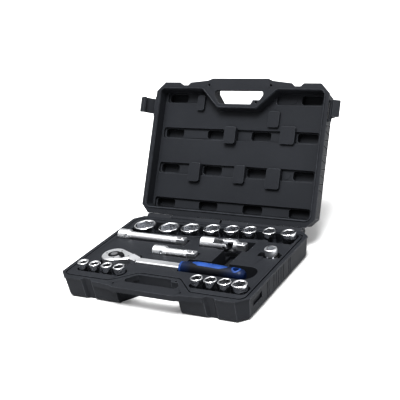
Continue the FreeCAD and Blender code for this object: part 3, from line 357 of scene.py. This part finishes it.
def grip_insert(name, tone, roughness):
    """Smooth coloured insert of the grip, paler in patches where thumbs wear it."""
    finish = Finish(name)
    stipple = finish.noise(1.5 * MM, 2.0, 0.6)
    rub = finish.ramp(finish.noise(18 * MM, 3.0), 0.40, 0.70)
    finish.set(
        Base_Color=finish.mix(rub, colour(tone, 0.85), colour(tone, 1.25)),
        Roughness=roughness + 0.12 * stipple + 0.08 * rub,
        Specular_IOR_Level=0.32,
        Normal=finish.bump(stipple, 0.03 * MM))
    return finish.material


class SocketSetLooks(bpy.types.PropertyGroup):
    """Sizes and colours of the finished set."""

    case_tone: bpy.props.FloatVectorProperty(
        name="Case", description="Colour of the moulded case", subtype="COLOR",
        size=3, min=0.0, max=1.0, default=(0.0270, 0.0288, 0.0330))
    chrome_tone: bpy.props.FloatVectorProperty(
        name="Chrome", description="Colour of the plated tools", subtype="COLOR",
        size=3, min=0.0, max=1.0, default=(0.83, 0.84, 0.86))
    grip_tone: bpy.props.FloatVectorProperty(
        name="Grip", description="Colour of the rubber grip", subtype="COLOR",
        size=3, min=0.0, max=1.0, default=(0.0045, 0.0055, 0.0085))
    insert_tone: bpy.props.FloatVectorProperty(
        name="Grip inserts", description="Colour of the grip's inlay, ring and collar", subtype="COLOR",
        size=3, min=0.0, max=1.0, default=(0.020, 0.062, 0.210))
    floor_tone: bpy.props.FloatVectorProperty(
        name="Floor", description="Colour of the floor and the surroundings", subtype="COLOR",
        size=3, min=0.0, max=1.0, default=(0.80, 0.80, 0.80))
    case_edge: bpy.props.FloatProperty(
        name="Case edges", description="Rounding of the moulded edges", unit="LENGTH",
        min=0.0, default=0.6 * MM)
    tool_edge: bpy.props.FloatProperty(
        name="Tool edges", description="Rounding of the tools' edges", unit="LENGTH",
        min=0.0, default=0.25 * MM)
    grain_depth: bpy.props.FloatProperty(
        name="Case grain", description="Depth of the case's fine grain", unit="LENGTH",
        min=0.0, default=0.10 * MM)
    socket_roughness: bpy.props.FloatProperty(
        name="Socket roughness", description="Roughness of the sockets", subtype="FACTOR",
        min=0.0, max=1.0, default=0.14)
    handle_roughness: bpy.props.FloatProperty(
        name="Handle roughness", description="Roughness of the ratchet and the bars", subtype="FACTOR",
        min=0.0, max=1.0, default=0.34)


def looks():
    return bpy.context.scene.socket_set_looks


def alone(piece):
    """Makes a piece the only selected one and the active one."""
    bpy.ops.object.select_all(action="DESELECT")
    piece.select_set(True)
    bpy.context.view_layer.objects.active = piece


def apply_modifier(piece, kind, **settings):
    modifier = piece.modifiers.new(kind.title(), kind)
    for key, value in settings.items():
        setattr(modifier, key, value)
    alone(piece)
    bpy.ops.object.modifier_apply(modifier=modifier.name)


def weigh_outer_edges(piece):
    """Weighs the sharp edges that stick out, so that only they are rounded."""
    mesh = piece.data
    sides = {}
    for face in mesh.polygons:
        for key in face.edge_keys:
            sides.setdefault(key, []).append(face)
    weights = mesh.attributes.new("bevel_weight_edge", "FLOAT", "EDGE")
    sharp = math.cos(math.radians(SHARP_DEGREES))
    for edge in mesh.edges:
        faces = sides.get(edge.key, ())
        if len(faces) != 2:
            continue
        first, second = faces
        outer = (second.center - first.center).dot(first.normal) < 0.0
        if outer and first.normal.dot(second.normal) < sharp:
            weights.data[edge.index].value = 1.0


def finished_copy(node, edge, materials, wear_and_highlight_edges=False, moulded=False):
    """A merged copy of a solid with its sharp edges rounded, in place of the plain one.

    The rounded edges can take the second material, a paler plastic that is partly wear and partly a painted
    highlight. A moulded piece keeps its inner edges sharp.
    """
    piece = bpy.data.objects.new(node + "_finished", frame["nodes"][node].data.copy())
    bpy.context.scene.collection.objects.link(piece)
    dress(piece, materials)
    alone(piece)
    bpy.ops.object.mode_set(mode="EDIT")
    bpy.ops.mesh.select_all(action="SELECT")
    bpy.ops.mesh.remove_doubles(threshold=MERGE_DISTANCE)
    bpy.ops.mesh.customdata_custom_splitnormals_clear()
    if not moulded:
        bpy.ops.mesh.dissolve_limited(angle_limit=math.radians(FLAT_DEGREES))
    bpy.ops.object.mode_set(mode="OBJECT")
    if moulded:
        weigh_outer_edges(piece)
    # On the case and latches the rounded strips take the paler edge plastic: wear together with a painted
    # edge highlight.
    if edge:
        apply_modifier(piece, "BEVEL", width=edge, segments=ROUND_SEGMENTS,
                       limit_method="WEIGHT" if moulded else "ANGLE",
                       angle_limit=math.radians(SHARP_DEGREES), use_clamp_overlap=False,
                       material=1 if wear_and_highlight_edges else -1)
    alone(piece)
    bpy.ops.object.shade_smooth_by_angle(angle=math.radians(SHARP_DEGREES))
    apply_modifier(piece, "WEIGHTED_NORMAL", keep_sharp=True)
    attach(piece, BODY_OF[node])
    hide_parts(node)
    return piece


def dress(piece, materials):
    piece.data.materials.clear()
    for material in materials:
        piece.data.materials.append(material)
    for face in piece.data.polygons:
        face.material_index = 0


def line_bore(piece):
    """Gives the second material to the faces that look towards a piece's upright axis."""
    corners = [Vector(corner) for corner in piece.bound_box]
    middle = sum(corners, Vector()) / len(corners)
    for face in piece.data.polygons:
        out = face.center - middle
        out.z = 0.0
        if face.normal.dot(out.normalized()) < BORE_FACING:
            face.material_index = 1


def pick(piece, kind, wanted):
    """Goes to edit mode with only the wanted faces or corners of a piece selected."""
    if bpy.context.mode != "OBJECT":
        bpy.ops.object.mode_set(mode="OBJECT")
    alone(piece)
    bpy.ops.object.mode_set(mode="EDIT")
    bpy.ops.mesh.select_mode(type=kind)
    bpy.ops.mesh.select_all(action="DESELECT")
    bpy.ops.object.mode_set(mode="OBJECT")
    for item in piece.data.polygons if kind == "FACE" else piece.data.vertices:
        item.select = wanted(item)
    bpy.ops.object.mode_set(mode="EDIT")


def sink(depth):
    """Extrudes the selected faces straight down."""
    bpy.ops.mesh.extrude_region_move(TRANSFORM_OT_translate={"value": (0.0, 0.0, -depth)})


def round_blank(name, radius, low, high, place, sides):
    """An upright disc between two heights, as the start of a small turned piece."""
    bpy.ops.object.select_all(action="DESELECT")
    bpy.ops.mesh.primitive_cylinder_add(vertices=sides, radius=radius, depth=high - low,
                                        location=(place[0], place[1], (low + high) / 2))
    piece = bpy.context.object
    piece.name = name
    bpy.ops.object.transform_apply(location=True)
    return piece


def settle(piece, body, materials):
    """Gives a modelled piece its finish, its shading and the body it rides on."""
    if bpy.context.mode != "OBJECT":
        bpy.ops.object.mode_set(mode="OBJECT")
    dress(piece, materials)
    alone(piece)
    bpy.ops.object.shade_smooth_by_angle(angle=math.radians(SHARP_DEGREES))
    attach(piece, body)


def moved_copy(piece, name, offset):
    """A copy with its own mesh, shifted within that mesh."""
    twin = piece.copy()
    twin.data = piece.data.copy()
    twin.name = name
    bpy.context.scene.collection.objects.link(twin)
    pick(twin, "VERT", lambda corner: True)
    bpy.ops.transform.translate(value=offset)
    bpy.ops.object.mode_set(mode="OBJECT")
    return twin


def lid_mark(name, place, plastic):
    """Round ejector mark on a band of the lid: a low ring with a flat middle."""
    piece = round_blank(name, MARK_RADIUS, LID_BAND_HEIGHT - MARK_HEIGHT, LID_BAND_HEIGHT, place, MARK_SIDES)
    pick(piece, "FACE", lambda face: face.normal.z < -LEVEL_FACE)
    bpy.ops.mesh.inset(thickness=MARK_RING)
    sink(-MARK_HEIGHT / 2)
    bpy.ops.mesh.select_all(action="SELECT")
    bpy.ops.transform.rotate(value=-LID_TURN, orient_axis="X", center_override=(0.0,) + HINGE_LINE)
    settle(piece, BODY_OF["lid_liner"], (plastic,))


class SOCKETSET_OT_case(bpy.types.Operator):
    """Finish the base and the lid"""
    bl_idname = "socketset.case"
    bl_label = "Case"

    def execute(self, context):
        plastic = moulded_plastic("case_plastic", looks().case_tone, looks().grain_depth, CASE_ROUGHNESS)
        # Paler plastic for the rounded edges: wear together with a painted edge highlight.
        edge_wear_and_highlight = rubbed_and_highlit_plastic("case_rubbed_highlit_edge", looks().case_tone, CASE_EDGE_ROUGHNESS)
        for node in CASE_SHELLS:
            finished_copy(node, looks().case_edge, (plastic, edge_wear_and_highlight), wear_and_highlight_edges=True, moulded=True)
        for number, place in enumerate(LID_MARKS, 1):
            lid_mark("lid_mark_%d" % number, place, plastic)
        return {"FINISHED"}


class SOCKETSET_OT_latches(bpy.types.Operator):
    """Finish the two latches and the pins of the case"""
    bl_idname = "socketset.latches"
    bl_label = "Latches and pins"

    def execute(self, context):
        plastic = moulded_plastic("latch_plastic", looks().case_tone, looks().grain_depth / 2,
                                  LATCH_ROUGHNESS)
        # Paler plastic for the rounded edges: wear together with a painted edge highlight.
        edge_wear_and_highlight = rubbed_and_highlit_plastic("latch_rubbed_highlit_edge", looks().case_tone, LATCH_ROUGHNESS)
        for node in LATCHES:
            finished_copy(node, looks().case_edge, (plastic, edge_wear_and_highlight), wear_and_highlight_edges=True)
        steel = worked_steel("pin_steel", *PIN_STEEL)
        for node in CASE_PINS:
            finished_copy(node, looks().tool_edge, (steel,))
        return {"FINISHED"}


class SOCKETSET_OT_sockets(bpy.types.Operator):
    """Finish the sixteen sockets"""
    bl_idname = "socketset.sockets"
    bl_label = "Sockets"

    def execute(self, context):
        chrome = polished_chrome("socket_chrome", looks().chrome_tone, looks().socket_roughness)
        satin = satin_chrome("socket_bore", looks().chrome_tone, BORE_ROUGHNESS)
        for node in SOCKETS:
            line_bore(finished_copy(node, looks().tool_edge, (chrome, satin)))
        return {"FINISHED"}


def button_ring(name, place, top, dark):
    """Dark washer in the recess round the release button."""
    piece = round_blank(name, RING_OUTER, top - RING_HEIGHT, top, place, RING_SIDES)
    pick(piece, "FACE", lambda face: abs(face.normal.z) > LEVEL_FACE)
    bpy.ops.mesh.inset(thickness=RING_WIDTH)
    bpy.ops.mesh.bridge_edge_loops()
    bpy.ops.object.mode_set(mode="OBJECT")
    apply_modifier(piece, "BEVEL", width=RING_EDGE, segments=ROUND_SEGMENTS, limit_method="ANGLE",
                   angle_limit=math.radians(RING_SHARP_DEGREES))
    settle(piece, BODY_OF["head_cover"], (dark,))


class SOCKETSET_OT_ratchet(bpy.types.Operator):
    """Finish the ratchet handle's metal"""
    bl_idname = "socketset.ratchet"
    bl_label = "Ratchet"

    def execute(self, context):
        chrome = polished_chrome("ratchet_chrome", looks().chrome_tone, looks().handle_roughness)
        for node in RATCHET_CHROME:
            finished_copy(node, looks().tool_edge, (chrome,))
        steel = worked_steel("ratchet_steel", *GEAR_STEEL)
        for node in RATCHET_STEEL:
            finished_copy(node, looks().tool_edge / 2, (steel,))
        dark = worked_steel("lever_dark_steel", *LEVER_STEEL)
        for node in RATCHET_DARK:
            finished_copy(node, looks().tool_edge, (dark,))
        low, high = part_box("head_cover")
        button_ring("button_ring", (low + high) / 2, high.z - RING_SUNK, dark)
        return {"FINISHED"}


def cover_screw(name, place, top):
    """Sunk screw head with a six-lobed socket."""
    piece = round_blank(name, SCREW_RADIUS, top - SCREW_SEAT, top - SCREW_SUNK, place, SCREW_SIDES)
    pick(piece, "FACE", lambda face: face.normal.z > LEVEL_FACE)
    bpy.ops.mesh.inset(thickness=SCREW_CHAMFER)
    bpy.ops.transform.translate(value=(0.0, 0.0, SCREW_CROWN))
    bpy.ops.mesh.inset(thickness=SCREW_FACE)
    bpy.ops.object.mode_set(mode="OBJECT")
    socket = [index for face in piece.data.polygons if face.select for index in face.vertices]

    def is_notch(corner):
        turn = math.atan2(corner.co.y - place[1], corner.co.x - place[0])
        return corner.index in socket and math.cos(SCREW_LOBES * turn) < SCREW_NOTCH_BELOW

    pick(piece, "VERT", is_notch)
    bpy.ops.transform.resize(value=SCREW_NOTCH, center_override=(place[0], place[1], top))
    pick(piece, "FACE", lambda face: set(face.vertices) == set(socket))
    sink(SCREW_SOCKET_DEPTH)
    bpy.ops.object.mode_set(mode="OBJECT")
    return piece


def neck_pin(name, place, top):
    """Driven pin with a low domed head."""
    piece = round_blank(name, SCREW_RADIUS, top - NECK_PIN_SEAT, top - SCREW_SUNK, place, SCREW_SIDES)
    pick(piece, "FACE", lambda face: face.normal.z > LEVEL_FACE)
    for step, rise in NECK_PIN_DOME:
        bpy.ops.mesh.inset(thickness=step)
        bpy.ops.transform.translate(value=(0.0, 0.0, rise))
    bpy.ops.object.mode_set(mode="OBJECT")
    return piece


class SOCKETSET_OT_screws(bpy.types.Operator):
    """Set the screws of the ratchet's head cover and the pin of its neck"""
    bl_idname = "socketset.screws"
    bl_label = "Head screws"

    def execute(self, context):
        steel = worked_steel("screw_steel", *SCREW_STEEL)
        low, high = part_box("head_cover")
        middle = (low + high) / 2
        places = []
        for turn in SCREW_TURNS:
            places.append((middle.x + SCREW_CIRCLE * math.cos(math.radians(turn)),
                           middle.y + SCREW_CIRCLE * math.sin(math.radians(turn))))
        first = cover_screw("head_screw_1", places[0], high.z)
        pieces = [first]
        for number, place in enumerate(places[1:], 2):
            offset = (place[0] - places[0][0], place[1] - places[0][1], 0.0)
            pieces.append(moved_copy(first, "head_screw_%d" % number, offset))
        pieces.append(neck_pin("neck_pin", (middle.x + NECK_PIN_REACH, middle.y), high.z))
        for piece in pieces:
            settle(piece, BODY_OF["head_cover"], (steel,))
        return {"FINISHED"}


class SOCKETSET_OT_grip(bpy.types.Operator):
    """Finish the rubber grip and its coloured inserts"""
    bl_idname = "socketset.grip"
    bl_label = "Grip"

    def execute(self, context):
        corners = [corner[0] for corner in frame["nodes"]["grip"].bound_box]
        rubber = grip_rubber("grip_rubber", looks().grip_tone, colour(looks().insert_tone, GRIP_TINT_SHARE),
                             min(corners), max(corners))
        finished_copy("grip", looks().tool_edge, (rubber,))
        insert = grip_insert("grip_insert", looks().insert_tone, INSERT_ROUGHNESS)
        for node in GRIP_INSERTS:
            finished_copy(node, looks().tool_edge, (insert,))
        return {"FINISHED"}


class SOCKETSET_OT_bars(bpy.types.Operator):
    """Finish the extension bars, the adapter and the universal joint"""
    bl_idname = "socketset.bars"
    bl_label = "Bars and joint"

    def execute(self, context):
        chrome = polished_chrome("bar_chrome", looks().chrome_tone, looks().handle_roughness)
        for node in BARS + JOINT_STEEL:
            finished_copy(node, looks().tool_edge, (chrome,))
        dark = worked_steel("joint_dark_steel", *CROSS_STEEL)
        for node in DARK_STEEL:
            finished_copy(node, looks().tool_edge, (dark,))
        bright = worked_steel("ball_steel", *BALL_STEEL)
        for node in BALLS:
            finished_copy(node, 0.0, (bright,))
        return {"FINISHED"}


def light_dome():
    """White surroundings that grow brighter towards the top, like a light tent."""
    world = bpy.data.worlds.new("studio")
    world.use_nodes = True
    tree = world.node_tree
    place = tree.nodes.new("ShaderNodeTexCoord")
    height = tree.nodes.new("ShaderNodeSeparateXYZ")
    strength = tree.nodes.new("ShaderNodeMapRange")
    strength.inputs["To Min"].default_value = DOME_LOW
    strength.inputs["To Max"].default_value = DOME_HIGH
    background = tree.nodes["Background"]
    background.inputs["Color"].default_value = (1.0, 1.0, 1.0, 1.0)
    tree.links.new(place.outputs["Generated"], height.inputs["Vector"])
    tree.links.new(height.outputs["Z"], strength.inputs["Value"])
    tree.links.new(strength.outputs["Result"], background.inputs["Strength"])
    return world


def hang_lamp(name, kind, power, place, aim):
    """Hangs a lamp at a place, turned towards another, and returns its light."""
    light = bpy.data.lights.new(name, kind)
    light.energy = power
    lamp = bpy.data.objects.new(name, light)
    bpy.context.scene.collection.objects.link(lamp)
    lamp.location = place
    lamp.rotation_euler = (Vector(aim) - Vector(place)).to_track_quat("-Z", "Y").to_euler()
    return light


class SOCKETSET_OT_stage(bpy.types.Operator):
    """Put up the floor, the lamps and the camera"""
    bl_idname = "socketset.stage"
    bl_label = "Stage"

    def execute(self, context):
        bpy.ops.object.select_all(action="DESELECT")
        bpy.ops.mesh.primitive_plane_add(size=FLOOR_SIZE)
        floor = context.object
        floor.name = "studio_floor"
        paint = Finish("floor_paint")
        cloud = paint.noise(FLOOR_CLOUD, 2.0)
        tone = looks().floor_tone
        paint.set(
            Base_Color=paint.mix(cloud, colour(tone, FLOOR_SHADE), colour(tone)),
            Roughness=FLOOR_ROUGHNESS,
            Specular_IOR_Level=FLOOR_SHINE)
        floor.data.materials.append(paint.material)
        context.scene.world = light_dome()
        for name, place, width, power in LAMPS:
            hang_lamp(name, "AREA", power, place, LAMP_AIM).size = width
        hang_lamp("sky_lamp", "SUN", SUN_POWER, SUN_FROM, (0.0, 0.0, 0.0)).angle = math.radians(SUN_SPREAD)
        lens = bpy.data.cameras.new("photo_camera")
        lens.lens = CAMERA_LENS
        lens.sensor_width = CAMERA_SENSOR
        lens.clip_start = CAMERA_NEAR
        camera = bpy.data.objects.new("photo_camera", lens)
        context.scene.collection.objects.link(camera)
        turn = Matrix((CAMERA_RIGHT, CAMERA_UP, CAMERA_BACK)).transposed().to_4x4()
        camera.matrix_world = Matrix.Translation(CAMERA_PLACE) @ turn
        context.scene.camera = camera
        context.scene.view_settings.view_transform = "Standard"
        context.scene.view_settings.look = "High Contrast"
        return {"FINISHED"}


OPERATORS = (
    SOCKETSET_OT_case,
    SOCKETSET_OT_latches,
    SOCKETSET_OT_sockets,
    SOCKETSET_OT_ratchet,
    SOCKETSET_OT_screws,
    SOCKETSET_OT_grip,
    SOCKETSET_OT_bars,
    SOCKETSET_OT_stage,
)


class SOCKETSET_PT_panel(bpy.types.Panel):
    """Sizes, colours and steps of the socket wrench set"""
    bl_idname = "SOCKETSET_PT_panel"
    bl_label = "Socket Wrench Set"
    bl_space_type = "VIEW_3D"
    bl_region_type = "UI"
    bl_category = "Socket Set"

    def draw(self, context):
        for key in SocketSetLooks.__annotations__:
            self.layout.prop(context.scene.socket_set_looks, key)
        for step in OPERATORS:
            self.layout.operator(step.bl_idname)


CLASSES = (SocketSetLooks,) + OPERATORS + (SOCKETSET_PT_panel,)


def register():
    for kind in CLASSES:
        bpy.utils.register_class(kind)
    bpy.types.Scene.socket_set_looks = bpy.props.PointerProperty(type=SocketSetLooks)


def unregister():
    del bpy.types.Scene.socket_set_looks
    for kind in reversed(CLASSES):
        bpy.utils.unregister_class(kind)


def main():
    register()
    for step in OPERATORS:
        group, action = step.bl_idname.split(".")
        getattr(getattr(bpy.ops, group), action)()


if __name__ == "__main__":
    main()
